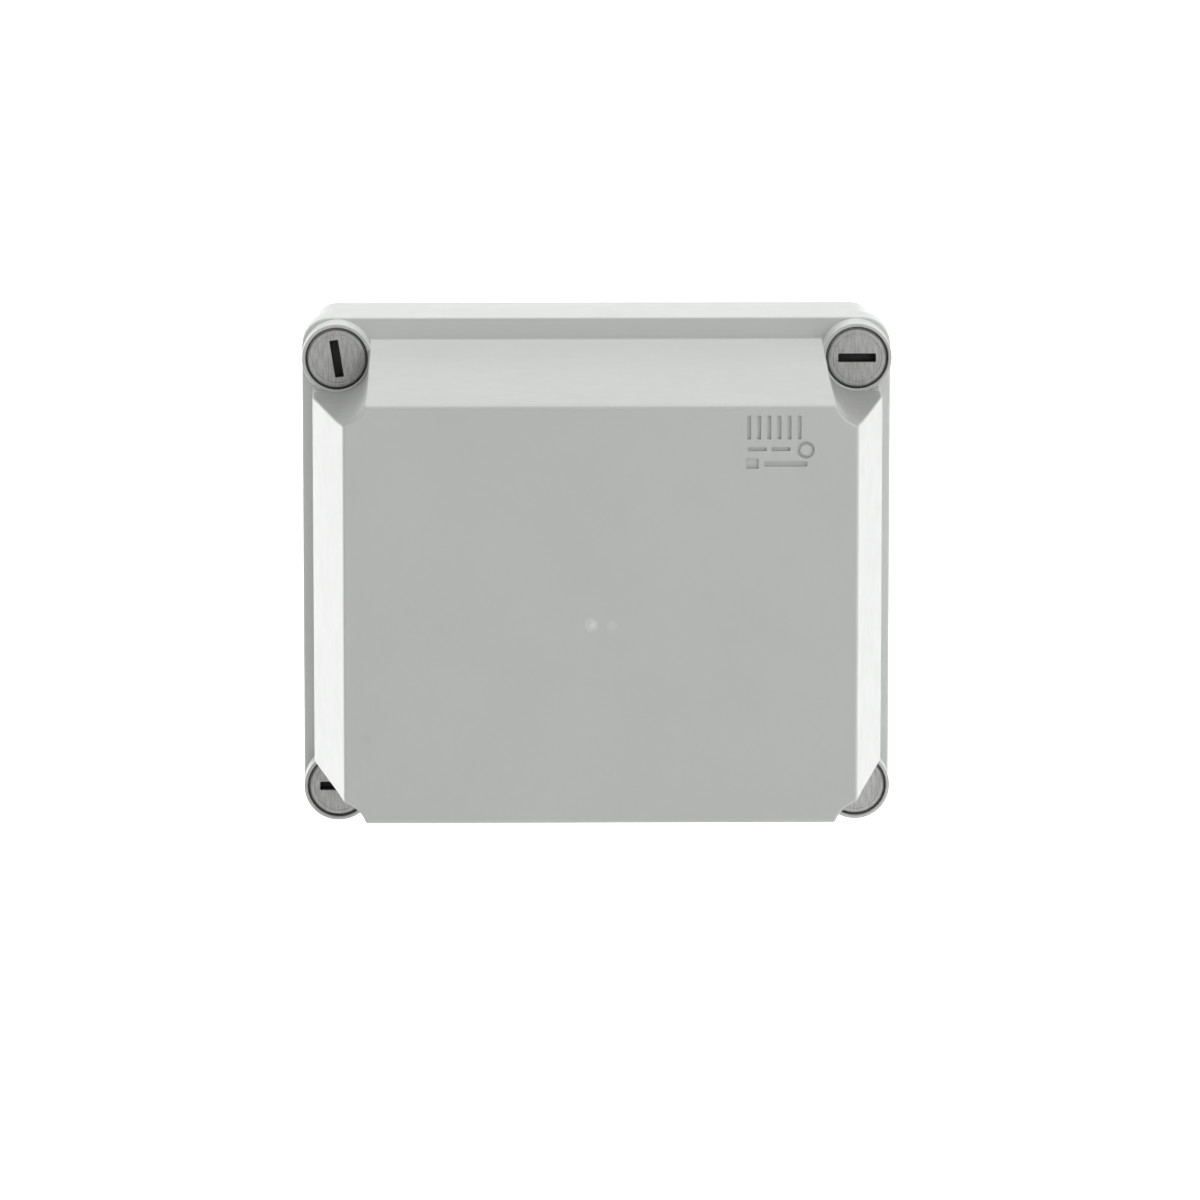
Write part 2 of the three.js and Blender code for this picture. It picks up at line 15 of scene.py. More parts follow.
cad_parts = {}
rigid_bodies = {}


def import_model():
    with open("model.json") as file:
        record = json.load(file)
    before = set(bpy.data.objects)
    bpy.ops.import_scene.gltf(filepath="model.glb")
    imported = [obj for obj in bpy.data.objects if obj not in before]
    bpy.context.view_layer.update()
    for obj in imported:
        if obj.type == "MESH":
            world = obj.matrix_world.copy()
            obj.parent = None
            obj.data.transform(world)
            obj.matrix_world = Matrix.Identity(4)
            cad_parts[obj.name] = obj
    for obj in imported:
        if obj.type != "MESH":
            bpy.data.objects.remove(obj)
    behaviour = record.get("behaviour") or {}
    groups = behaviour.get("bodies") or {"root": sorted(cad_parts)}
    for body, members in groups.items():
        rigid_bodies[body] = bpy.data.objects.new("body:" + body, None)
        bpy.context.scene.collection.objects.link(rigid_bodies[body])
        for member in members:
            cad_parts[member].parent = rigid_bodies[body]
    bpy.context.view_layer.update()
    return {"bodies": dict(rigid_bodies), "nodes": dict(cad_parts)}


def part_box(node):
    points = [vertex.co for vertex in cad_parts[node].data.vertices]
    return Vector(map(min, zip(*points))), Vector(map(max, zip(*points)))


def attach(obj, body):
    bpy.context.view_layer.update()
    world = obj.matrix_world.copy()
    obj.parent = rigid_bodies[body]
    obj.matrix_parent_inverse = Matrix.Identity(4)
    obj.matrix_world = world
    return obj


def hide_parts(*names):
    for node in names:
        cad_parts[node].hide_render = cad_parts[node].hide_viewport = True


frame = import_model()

MM = 0.001
Extent = namedtuple("Extent", "left right bottom top back front")


def extent(node):
    """A CAD node's box in the wall's frame, in millimetres."""
    low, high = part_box(node)
    return Extent(*(value / MM for value in (low.x, high.x, low.z, high.z, -high.y, -low.y)))


def centre_of(box):
    """The middle of an extent, across the wall."""
    return (box.left + box.right) / 2, (box.bottom + box.top) / 2


def place(x, y, depth):
    """A point of the wall's frame, in the row frame."""
    return Vector((x, -depth, y)) * MM


# ------------------------------------------------------------------ sizes

BASE = extent("base_shell")
LID = extent("lid_shell")
GASKET = extent("lid_gasket")
SCREW = extent("lid_screw_top_right")
RAIL = extent("din_rail")

# The play between pieces, how far a cutter reaches past what it cuts, and the casing's wall.
GAP = 0.3
PAST = 1.0
WALL = 3.0

# A lid screw: its head, its shank with a collar, its lugs measured from the tip, and its slot.
SCREW_X, SCREW_Y = centre_of(SCREW)
HEAD_RADIUS = (SCREW.right - SCREW.left) / 2
HEAD_FRONT = SCREW.front
HEAD_SKIRT = 8.95
SHANK_RADIUS = 4.0
COLLAR_RADIUS = 5.0
LUG_HALF = (5.2, 1.7)
LUG_BACK = 3.0
LUG_FRONT = 7.0
SLOT_HALF = (5.6, 1.32)
SLOT_DEPTH = 5.5

# The base's corners, floor and rim.
BASE_CORNER = 6.0
BASE_FLOOR = 3.0
RIM_STEP = 0.5
RIM_FOOT = LID.back - GAP
POST_RADIUS = 12.0
SOCKET_RADIUS = 5.6
SOCKET_FLOOR = 25.0
INNER_CORNER = 2.5

# The lid's flange. The raised box on it is given as (height over the flange, inset in x,
# inset in y), and it has a pocket round the boss of each screw. The rib behind is set inside
# the gasket.
FLANGE_FRONT = LID.back + 12.0
PLATE_BACK = FLANGE_FRONT - 3.0
FLANGE_CORNER = 8.3
FLANGE_EDGE = 0.6
RAISED_LEVELS = ((0.0, 3.3, 6.6), (25.0, 3.6, 8.7), (85.5, 13.1, 13.8))
FRONT_EDGE = 1.3
FRONT_EDGE_AT_SIDE = 1.0
RAISED_CORNER = 0.7
LID_INSET = 3.4
POCKET_RADIUS = 9.7
BOSS_RADIUS = 10.3
BOSS_FRONT = FLANGE_FRONT + 12.0
BOSS_EDGE = 0.35
RECESS_RADIUS = 9.25
RECESS_FLOOR = 65.5
RIB_DEPTH = 3.5
RIB_WALL_X = 1.8
RIB_WALL_Y = 3.5
RIB_WALL_AT_POST = 2.3
GASKET_WIDTH = 2

# Plain relief moulded into the lid's face, from its top left corner: a row of ribs, a ring, and
# bars as (left, right, upper, lower).
MARK_LEFT = 41.4
MARK_TOP = 57.8
MARK_DEPTH = 0.8
MARK_RIBS = 6
MARK_RIB_START = 0.6
MARK_RIB_PITCH = 2.9
MARK_RIB_WIDTH = 1.1
MARK_RIB_HEIGHT = 6.8
MARK_RING = (17.5, 9.9)
MARK_RING_OUTER = 2.5
MARK_RING_INNER = 1.6
MARK_BARS = (
    (0.8, 6.2, 9.1, 10.2),
    (7.6, 13.0, 9.1, 10.2),
    (0.3, 3.9, 12.3, 15.3),
    (5.5, 17.9, 13.2, 14.7),
)

# The stub that the mould's gate leaves on the face.
GATE = (-2.7, -2.9)
GATE_RADIUS = 1.2
GATE_HEIGHT = 0.3

# Holes for the wall screws, and the seats for their caps.
HOLE_RADIUS = 2.75
CAP_SEAT = 5.0
CAP_SEAT_RADIUS = 6.8
CAP_STEM_RADIUS = 2.35
CAP_BOSS_RADIUS = 8.5
CAP_BOSS_FRONT = 7.0

# The pillars under the rail's screws.
PILLAR_HALF = (8, 12)
PILLAR_FRONT = 9.0
PILLAR_BORE_RADIUS = 2.2
PILLAR_BORE_FLOOR = 4

# The rail, and the pieces on it. A pair holds the two depths between which a hollow runs.
RAIL_SHEET = RAIL.front - RAIL.back - 6.5
RAIL_WEB_HALF = 12.5
RAIL_BEND = 0.5
RAIL_SLOT = (7.5, 3.1)
RAIL_LIP = RAIL.front - 2.6
SIDE_WALL = 1.2
CLAMP_Y = 12.5
CLAMP_OFFSET = 4.5
CLAMP_HALF = 3.2
CHAMBER = (20.5, 38.3)
BAR_SLOT = (27.2, 30.0)
BORE_RADIUS = 2.75
THREAD_RADIUS = 2.1
SCREW_LEDGE = 39.3
COUNTERSINK = (42.1, 43.5)
COUNTERSINK_RADIUS = 3.6
ENTRY_DEPTH = 24.6
MARKER_MARGIN = 1.2
MARKER_HALF = 4.6
MARKER_DEPTH = 0.7
CLAMP_SCREW_TURN = 25
STOP_BORE = (19, 32)
STOP_SCREW_RADIUS = 3.2
STOP_SCREW_FLOOR = 31
GROOVES = 3
GROOVE_START = 6.0
GROOVE_PITCH = 1.8

# Painted light and shade on the casing, as shares of its plain colour: the lid's foot and flange are
# painted paler, and the back of the base and the pockets darker.
FOOT_PAINTED_LIGHT = 1.16
FLANGE_PAINTED_LIGHT = 1.15
BACK_PAINTED_SHADE = 0.85
POCKET_PAINTED_SHADE = 0.56

# Faint round spots on the lid's face, as (middle, radius, share of the plain colour). The first
# is the blush round the gate.
SPOTS = (
    (GATE, 1.9, 1.24),
    ((GATE[0] + 5.9, GATE[1] - 0.2), 1.7, 1.07),
    ((-67.5, -36), 1.6, 0.95),
)

# The backdrop, in metres: a floor that bends up into a wall. It glows of itself behind the
# object and far out all round it, but not high up. Each pair says where that starts and ends.
FLOOR_LEVEL = -0.30
SWEEP_HALF = 9.0
SWEEP_BACK = 3.6
SWEEP_BEND = 1.2
SWEEP_TOP = 1.8
GLOW = 0.84
GLOW_BEHIND = (-0.1, 0.5)
GLOW_FAR = (1.8, 3.6)
GLOW_HEIGHT = (0.35, 0.75)
BLACK = (0, 0, 0)
WHITE = (1, 1, 1)

# How finely curves are divided.
EASE_STEPS = 4
ROUND_STEPS = 6
POCKET_STEPS = 24
POCKET_POINTS = 26
RAISED_STEPS = 14
FLARE_STEPS = 4
FRONT_STEPS = 8
BEND_STEPS = 12
CIRCLE = 72
SMALL_CIRCLE = 40


# ------------------------------------------------------------------ outlines

def bezier(start, corner, end):
    """Points of the curve that rounds a corner off."""
    curve = []
    for i in range(EASE_STEPS + 1):
        t = i / EASE_STEPS
        curve.append(start * (1 - t) ** 2 + corner * (2 * t * (1 - t)) + end * t ** 2)
    return curve


def eased(corners):
    """A closed outline from (a, b, radius) corners, with each corner rounded off."""
    outline = []
    for i, (a, b, radius) in enumerate(corners):
        corner = Vector((a, b))
        before = Vector(corners[i - 1][:2]) - corner
        after = Vector(corners[(i + 1) % len(corners)][:2]) - corner
        reach = radius / math.tan(before.angle(after) / 2)
        outline += bezier(
            corner + before.normalized() * reach, corner, corner + after.normalized() * reach)
    return outline


def circle(radius, x=0.0, y=0.0, segments=CIRCLE):
    """Points round a circle."""
    turns = (2 * math.pi * i / segments for i in range(segments))
    return [Vector((x + radius * math.cos(t), y + radius * math.sin(t))) for t in turns]


def rounded_rectangle(half_x, half_y, radius, x=0.0, y=0.0):
    """A rectangle whose corners are true arcs."""
    outline = []
    for quarter, (i, j) in enumerate(((1, 1), (-1, 1), (-1, -1), (1, -1))):
        centre = Vector((x + i * (half_x - radius), y + j * (half_y - radius)))
        for step in range(ROUND_STEPS + 1):
            turn = (quarter + step / ROUND_STEPS) * math.pi / 2
            outline.append(centre + Vector((math.cos(turn), math.sin(turn))) * radius)
    return outline


def resampled(path, margin, count):
    """Points at even steps along a path, all but a margin at each end."""
    lengths = [0.0]
    for one, two in zip(path, path[1:]):
        lengths.append(lengths[-1] + (two - one).length)
    end = lengths[-1] - margin
    points = []
    segment = 0
    for i in range(count):
        along = margin + (end - margin) * i / (count - 1)
        while segment < len(path) - 2 and lengths[segment + 1] < along:
            segment += 1
        span = lengths[segment + 1] - lengths[segment]
        share = (along - lengths[segment]) / span if span else 0.0
        points.append(path[segment].lerp(path[segment + 1], share))
    return points


def pocket_path(half_x, half_y, radius):
    """The wall of the top right pocket, from the top wall round the screw to the right wall."""
    start = math.asin(max(0.0, SCREW_Y - half_y) / radius)
    end = math.acos(max(0.0, SCREW_X - half_x) / radius)
    turns = [start + (end - start) * i / POCKET_STEPS for i in range(POCKET_STEPS + 1)]
    arc = [Vector((SCREW_X - radius * math.cos(t), SCREW_Y - radius * math.sin(t))) for t in turns]
    return [Vector((arc[0].x, half_y))] + arc + [Vector((half_x, arc[-1].y))]


def raised_outline(half_x, half_y, radius, ease):
    """The raised box's outline: a rectangle with a pocket round the screw in each corner."""
    path = pocket_path(half_x, half_y, radius)
    middle = resampled(path, ease, POCKET_POINTS)
    first = path[0]
    last = path[-1]
    quarter = bezier(first - Vector((ease, 0)), first, middle[0])[:-1]
    quarter += middle
    quarter += bezier(middle[-1], last, last - Vector((0, ease)))[1:]
    outline = []
    for i, j, turned_round in ((1, 1, False), (1, -1, True), (-1, -1, False), (-1, 1, True)):
        corner = [Vector((i * point.x, j * point.y)) for point in quarter]
        outline += corner[::-1] if turned_round else corner
    return outline


# ------------------------------------------------------------------ bodies

def new_body(mesh):
    """An object that holds a bmesh, with its faces pointing out."""
    bmesh.ops.remove_doubles(mesh, verts=mesh.verts, dist=1e-7)
    bmesh.ops.recalc_face_normals(mesh, faces=mesh.faces)
    data = bpy.data.meshes.new("body")
    mesh.to_mesh(data)
    mesh.free()
    body = bpy.data.objects.new("body", data)
    bpy.context.scene.collection.objects.link(body)
    return body


def loft(rings):
    """A closed body through rings of (x, y, depth) points, all of one length."""
    mesh = bmesh.new()
    rows = [[mesh.verts.new(place(*point)) for point in ring] for ring in rings]
    for low, high in zip(rows, rows[1:]):
        for i in range(len(low)):
            j = (i + 1) % len(low)
            mesh.faces.new((low[i], low[j], high[j], high[i]))
    mesh.faces.new(rows[0])
    mesh.faces.new(rows[-1])
    return new_body(mesh)


def at_depth(outline, depth):
    """An outline as a ring of (x, y, depth) points."""
    return [(point.x, point.y, depth) for point in outline]


def slab(outline, back, front, back_edge=0.0, front_edge=0.0):
    """A body of one outline with rounded edges; outline(inset) gives the ring at an inset."""
    rings = []
    for edge, depth, toward in ((back_edge, back, 1), (front_edge, front, -1)):
        steps = ROUND_STEPS if edge else 0
        curve = []
        for i in range(steps + 1):
            turn = math.pi / 2 * i / max(steps, 1)
            inset = edge * (1 - math.sin(turn))
            curve.append(at_depth(outline(inset), depth + toward * edge * (1 - math.cos(turn))))
        rings += curve if toward > 0 else curve[::-1]
    return loft(rings)


def rectangle_slab(half_x, half_y, corner, back, front, back_edge=0.0, front_edge=0.0, x=0.0, y=0.0):
    """A slab with a rounded rectangle's outline, about (x, y)."""
    def outline(inset):
        radius = max(corner - inset, 0.05)
        return rounded_rectangle(half_x - inset, half_y - inset, radius, x, y)
    return slab(outline, back, front, back_edge, front_edge)


def turned(profile, x=0.0, y=0.0, segments=CIRCLE):
    """A body turned about a line along the depth, from (radius, depth) points."""
    return loft([at_depth(circle(radius, x, y, segments), depth) for radius, depth in profile])


def rod(radius, back, front, x=0.0, y=0.0, segments=CIRCLE):
    """A plain round body along the depth."""
    return turned([(radius, back), (radius, front)], x, y, segments)


def extruded(outline, left, right):
    """A body of one (y, depth) outline along x."""
    return loft([[(x, point.x, point.y) for point in outline] for x in (left, right)])


def applied(body):
    """Bakes a body's modifiers into its mesh."""
    graph = bpy.context.evaluated_depsgraph_get()
    data = bpy.data.meshes.new_from_object(body.evaluated_get(graph))
    body.modifiers.clear()
    body.data = data
    return body


def combined(body, others, operation):
    """A body joined with others, or cut by them. The others are used up."""
    for other in others:
        modifier = body.modifiers.new("combine", "BOOLEAN")
        modifier.solver = "MANIFOLD"
        modifier.operation = operation
        modifier.object = other
    applied(body)
    for other in others:
        bpy.data.objects.remove(other)
    return body


def joined(body, *others):
    """A body joined with others."""
    return combined(body, others, "UNION")


def cut(body, *others):
    """A body with others cut out of it."""
    return combined(body, others, "DIFFERENCE")


def bevelled(body, width):
    """A body with its sharp edges rounded off."""
    modifier = body.modifiers.new("edges", "BEVEL")
    modifier.width = width * MM
    modifier.segments = 2
    modifier.limit_method = "ANGLE"
    modifier.angle_limit = math.radians(40)
    return applied(body)


def smooth(body):
    """Smooth shading that stays crisp at sharp edges and flat on large faces."""
    data = body.data
    data.polygons.foreach_set("use_smooth", [True] * len(data.polygons))
    data.set_sharp_from_angle(angle=math.radians(32))
    normals = body.modifiers.new("normals", "WEIGHTED_NORMAL")
    normals.keep_sharp = True
    normals.weight = 60


def piece(body, name, material, rides, stands_for):
    """Finishes a body as a named piece of the object."""
    body.name = name
    body.data.name = name
    body.data.materials.clear()
    body.data.materials.append(material)
    smooth(body)
    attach(body, rides)
    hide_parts(*stands_for)


def at_corners(make):
    """One body at each of the four lid screws."""
    return [make(i * SCREW_X, j * SCREW_Y) for i in (-1, 1) for j in (-1, 1)]


# ------------------------------------------------------------------ materials

def new_material(name):
    """A material with an empty Principled shader, and its node tree."""
    material = bpy.data.materials.new(name)
    material.use_nodes = True
    tree = material.node_tree
    return material, tree, tree.nodes["Principled BSDF"]


def own_point(tree):
    """A point's place in the piece's own coordinates, in metres."""
    return tree.nodes.new("ShaderNodeTexCoord").outputs["Object"]


def own_value(tree, axis):
    """A point's place along one axis of the piece's own coordinates, in metres."""
    position = tree.nodes.new("ShaderNodeSeparateXYZ")
    tree.links.new(own_point(tree), position.inputs["Vector"])
    return position.outputs[axis]


def noise(tree, scale, detail, stretch=(1.0, 1.0, 1.0)):
    """A noise texture in the piece's own coordinates; scale is in features per metre."""
    mapping = tree.nodes.new("ShaderNodeMapping")
    mapping.inputs["Scale"].default_value = stretch
    texture = tree.nodes.new("ShaderNodeTexNoise")
    texture.inputs["Scale"].default_value = scale
    texture.inputs["Detail"].default_value = detail
    texture.inputs["Roughness"].default_value = 0.5
    tree.links.new(own_point(tree), mapping.inputs["Vector"])
    tree.links.new(mapping.outputs["Vector"], texture.inputs["Vector"])
    return texture.outputs["Fac"]


def ranged(tree, value, low, high, start=0.35, end=0.65):
    """A value from start to end, mapped to low to high."""
    node = tree.nodes.new("ShaderNodeMapRange")
    node.interpolation_type = "SMOOTHSTEP"
    node.inputs["From Min"].default_value = start
    node.inputs["From Max"].default_value = end
    node.inputs["To Min"].default_value = low
    node.inputs["To Max"].default_value = high
    tree.links.new(value, node.inputs["Value"])
    return node.outputs["Result"]


def depth_mask(tree, outer, inner, low=0, high=1):
    """A value that goes from low to high between an outer depth and an inner one."""
    return ranged(tree, own_value(tree, "Y"), low, high, -outer * MM, -inner * MM)


def mixed(tree, factor, one, two):
    """Two colours mixed by a factor; each colour is a tuple or a socket."""
    node = tree.nodes.new("ShaderNodeMix")
    node.data_type = "RGBA"
    tree.links.new(factor, node.inputs["Factor"])
    for socket, colour in ((node.inputs[6], one), (node.inputs[7], two)):
        if isinstance(colour, tuple):
            socket.default_value = (*colour, 1.0)
        else:
            tree.links.new(colour, socket)
    return node.outputs[2]


def scaled(colour, share):
    """A colour made lighter or darker by a share."""
    return tuple(channel * share for channel in colour)


def vector_step(tree, operation, *values):
    """A vector operation on sockets and constants."""
    node = tree.nodes.new("ShaderNodeVectorMath")
    node.operation = operation
    for value, socket in zip(values, node.inputs):
        if isinstance(value, bpy.types.NodeSocket):
            tree.links.new(value, socket)
        else:
            socket.default_value = value
    return node


def bumped(tree, shader, height, distance, before=None):
    """Adds a bump to a shader, after another one if given; its depth is in millimetres."""
    node = tree.nodes.new("ShaderNodeBump")
    node.inputs["Strength"].default_value = 1.0
    node.inputs["Distance"].default_value = distance * MM
    tree.links.new(height, node.inputs["Height"])
    if before:
        tree.links.new(before, node.inputs["Normal"])
    tree.links.new(node.outputs["Normal"], shader.inputs["Normal"])
    return node.outputs["Normal"]


def moulded_plastic(name, colour, roughness=0.34, grain=0.008):
    """Moulded plastic: a fine spark-eroded grain, faint flow clouds and a few pale scuffs."""
    material, tree, shader = new_material(name)
    variation = 0.012
    clouds = ranged(tree, noise(tree, 38, 3), 0, 1)
    scuffs = ranged(tree, noise(tree, 300, 5, (1.0, 1.0, 0.4)), 0, 1, 0.62, 0.78)
    body = mixed(tree, clouds, scaled(colour, 1 - variation), scaled(colour, 1 + variation / 2))
    body = mixed(tree, scuffs, body, scaled(colour, 1 + 1.5 * variation))
    tree.links.new(body, shader.inputs["Base Color"])
    gloss = ranged(tree, noise(tree, 140, 4), roughness - 0.02, roughness + 0.03)
    tree.links.new(gloss, shader.inputs["Roughness"])
    shader.inputs["IOR"].default_value = 1.5
    waves = bumped(tree, shader, noise(tree, 55, 2), 0.002)
    bumped(tree, shader, noise(tree, 2600, 3), grain, before=waves)
    return material


def screw_distance(tree):
    """How far a point lies inside the nearest lid screw's axis, across the wall."""
    folded = vector_step(tree, "ABSOLUTE", own_point(tree))
    level = vector_step(tree, "MULTIPLY", folded.outputs["Vector"], (1, 0, 1))
    short = vector_step(tree, "SUBTRACT", place(SCREW_X, SCREW_Y, 0), level.outputs["Vector"])
    inside = vector_step(tree, "MAXIMUM", short.outputs["Vector"], (0, 0, 0))
    return vector_step(tree, "LENGTH", inside.outputs["Vector"]).outputs["Value"]


def painted_light_by_depth(tree, body, colour):
    """Painted light makes the lid's foot and flange paler than its face, and painted shade makes the
    back of the base greyer.
    """
    # Painted light on the foot of the raised box and on the flange; painted shade on the back of the
    # base.
    foot = depth_mask(tree, FLANGE_FRONT + 26, FLANGE_FRONT + 1)
    flange = depth_mask(tree, FLANGE_FRONT + 0.9, FLANGE_FRONT + 0.1)
    back_shade = depth_mask(tree, 0.8, 0.2)
    body = mixed(tree, foot, body, scaled(colour, FOOT_PAINTED_LIGHT))
    body = mixed(tree, flange, body, scaled(colour, FLANGE_PAINTED_LIGHT))
    return mixed(tree, back_shade, body, scaled(colour, BACK_PAINTED_SHADE))


def painted_pocket_shade(tree, body, colour):
    """Painted shade on the pocket walls, over the screw bosses."""
    # Painted shade: the pocket walls in front of the screw bosses are made darker.
    over_boss = depth_mask(tree, BOSS_FRONT + 2.0, BOSS_FRONT + 0.2, 1, 0)
    pocket = ranged(tree, screw_distance(tree), 1, 0, POCKET_RADIUS * MM, (POCKET_RADIUS + 0.5) * MM)
    pocket_shaded = mixed(tree, over_boss, body, scaled(colour, POCKET_PAINTED_SHADE))
    return mixed(tree, pocket, body, pocket_shaded)


def spotted(tree, body, colour):
    """Faint round spots on the lid's face."""
    for (x, y), radius, tone in SPOTS:
        middle = place(x, y, LID.front)
        distance = vector_step(tree, "DISTANCE", own_point(tree), middle).outputs["Value"]
        near = ranged(tree, distance, 1, 0, radius * 0.3 * MM, radius * 1.3 * MM)
        body = mixed(tree, near, body, scaled(colour, tone))
    return body


def housing_plastic(colour):
    """The casing's plastic: uneven in tone, with painted light and shade by depth, painted shade in
    the pockets and a blush at the gate.
    """
    material = moulded_plastic("housing_plastic", colour)
    tree = material.node_tree
    surface = tree.nodes["Principled BSDF"].inputs["Base Color"]
    body = painted_light_by_depth(tree, surface.links[0].from_socket, colour)
    body = painted_pocket_shade(tree, body, colour)
    body = spotted(tree, body, colour)
    tree.links.new(body, surface)
    return material


def striped_plastic(name, green, yellow):
    """Moulded plastic with broad yellow bands across green."""
    material = moulded_plastic(name, green, 0.48)
    tree = material.node_tree
    surface = tree.nodes["Principled BSDF"].inputs["Base Color"]
    plain = surface.links[0].from_socket
    bands = tree.nodes.new("ShaderNodeTexWave")
    bands.wave_type = "BANDS"
    bands.bands_direction = "Z"
    bands.inputs["Scale"].default_value = 24
    bands.inputs["Phase Offset"].default_value = math.pi / 2
    tree.links.new(own_point(tree), bands.inputs["Vector"])
    band = ranged(tree, bands.outputs["Fac"], 0, 1, 0.60, 0.64)
    tree.links.new(mixed(tree, band, plain, yellow), surface)
    return material


def plated_metal(name, colour, roughness):
    """Plated steel or copper: cloudy passivation, fine drawn scratches and dull specks."""
    material, tree, shader = new_material(name)
    clouds = ranged(tree, noise(tree, 160, 4), 0, 1)
    scratches = noise(tree, 1500, 3, (0.08, 1.0, 1.0))
    specks = ranged(tree, noise(tree, 900, 2), 0, 1, 0.66, 0.78)
    body = mixed(tree, clouds, scaled(colour, 0.88), scaled(colour, 1.06))
    body = mixed(tree, specks, body, scaled(colour, 0.6))
    tree.links.new(body, shader.inputs["Base Color"])
    gloss = ranged(tree, scratches, roughness - 0.06, roughness + 0.12)
    tree.links.new(gloss, shader.inputs["Roughness"])
    shader.inputs["Metallic"].default_value = 1.0
    drawn = bumped(tree, shader, scratches, 0.008)
    bumped(tree, shader, noise(tree, 300, 3), 0.01, before=drawn)
    return material


def turned_rings(tree):
    """Fine rings about a lid screw's axis, a little uneven."""
    rings = tree.nodes.new("ShaderNodeTexWave")
    rings.wave_type = "RINGS"
    rings.rings_direction = "Y"
    rings.inputs["Scale"].default_value = 480
    rings.inputs["Distortion"].default_value = 1.6
    rings.inputs["Detail"].default_value = 3
    rings.inputs["Detail Scale"].default_value = 2
    tree.links.new(own_point(tree), rings.inputs["Vector"])
    return rings.outputs["Fac"]


def screw_plastic(colour, slot_shade):
    """Glass-filled plastic with fine turned rings on the face, and painted shade in the slot and
    ring gap.
    """
    material, tree, shader = new_material("screw_plastic")
    rings = turned_rings(tree)
    streaks = ranged(tree, noise(tree, 1900, 4, (1.0, 1.0, 0.14)), 0, 1)
    body = mixed(tree, rings, scaled(colour, 0.86), scaled(colour, 1.1))
    body = mixed(tree, streaks, body, scaled(colour, 1.3))
    # Painted shade: darker from just below the head's face inwards, in the slot and the ring gap,
    # but not on the shank.
    deep = depth_mask(tree, HEAD_FRONT - 0.5, HEAD_FRONT - 2.2)
    shank = depth_mask(tree, RECESS_FLOOR + 0.8, RECESS_FLOOR)
    body = mixed(tree, shank, mixed(tree, deep, body, slot_shade), body)
    tree.links.new(body, shader.inputs["Base Color"])
    tree.links.new(ranged(tree, streaks, 0.4, 0.52, 0, 1), shader.inputs["Roughness"])
    turned_face = bumped(tree, shader, rings, 0.02)
    bumped(tree, shader, noise(tree, 3200, 3), 0.015, before=turned_face)
    return material


# ------------------------------------------------------------------ casings

def at_nodes(prefix, make):
    """One body at the middle of each CAD node whose name starts with a prefix."""
    names = sorted(name for name in frame["nodes"] if name.startswith(prefix))
    return [make(*centre_of(extent(name))) for name in names]


def notched_slab(half_x, half_y, post, back, front, edge=0.0):
    """A centred slab cut back around the four screw posts."""
    body = rectangle_slab(half_x, half_y, INNER_CORNER, back, front, edge, edge)
    return cut(body, *at_corners(lambda x, y: rod(post, back - PAST, front + PAST, x, y)))


def cap_boss(x, y):
    """The low round boss that holds one wall screw's cap."""
    return turned([
        (CAP_BOSS_RADIUS + 0.5, BASE_FLOOR - PAST),
        (CAP_BOSS_RADIUS + 0.5, BASE_FLOOR),
        (CAP_BOSS_RADIUS + 0.1, BASE_FLOOR + 0.5),
        (CAP_BOSS_RADIUS, CAP_BOSS_FRONT - 0.3),
        (CAP_BOSS_RADIUS - 0.3, CAP_BOSS_FRONT),
    ], x, y)


def base_casing():
    """The tray: walls, floor, screw posts with their sockets, cap seats and rail pillars."""
    above = BASE.front + PAST
    half_x = BASE.right
    half_y = BASE.top
    body = rectangle_slab(half_x, half_y, BASE_CORNER, 0, RIM_FOOT, 0.3, 0.3)
    rim = rectangle_slab(
        half_x - RIM_STEP, half_y - RIM_STEP, BASE_CORNER - RIM_STEP, RIM_FOOT - PAST, BASE.front,
        0, 0.4)
    body = joined(body, rim)
    body = cut(body, notched_slab(half_x - WALL, half_y - WALL, POST_RADIUS, BASE_FLOOR, above))
    body = cut(body, *at_corners(lambda x, y: rod(SOCKET_RADIUS, SOCKET_FLOOR, above, x, y)))
    caps = "wall_screw_cap"
    body = joined(body, *at_nodes(caps, cap_boss))
    body = cut(body, *at_nodes(
        caps, lambda x, y: rod(CAP_SEAT_RADIUS, CAP_SEAT, CAP_BOSS_FRONT + PAST, x, y)))
    body = cut(body, *at_nodes(caps, lambda x, y: rod(HOLE_RADIUS, -PAST, CAP_SEAT + PAST, x, y)))
    rail_screws = "rail_screw"
    body = joined(body, *at_nodes(rail_screws, lambda x, y: rectangle_slab(
        *PILLAR_HALF, 1.2, BASE_FLOOR - PAST, PILLAR_FRONT, 0, 0.4, x)))
    return cut(body, *at_nodes(rail_screws, lambda x, y: rod(
        PILLAR_BORE_RADIUS, PILLAR_BORE_FLOOR, PILLAR_FRONT + PAST, x)))


def raised_size(height):
    """Half width and half height of the raised box at a height over the flange."""
    low, high = RAISED_LEVELS[0], RAISED_LEVELS[1]
    if height > high[0]:
        low, high = RAISED_LEVELS[1], RAISED_LEVELS[2]
    share = (height - low[0]) / (high[0] - low[0])
    return (LID.right - low[1] - (high[1] - low[1]) * share,
            LID.top - low[2] - (high[2] - low[2]) * share)


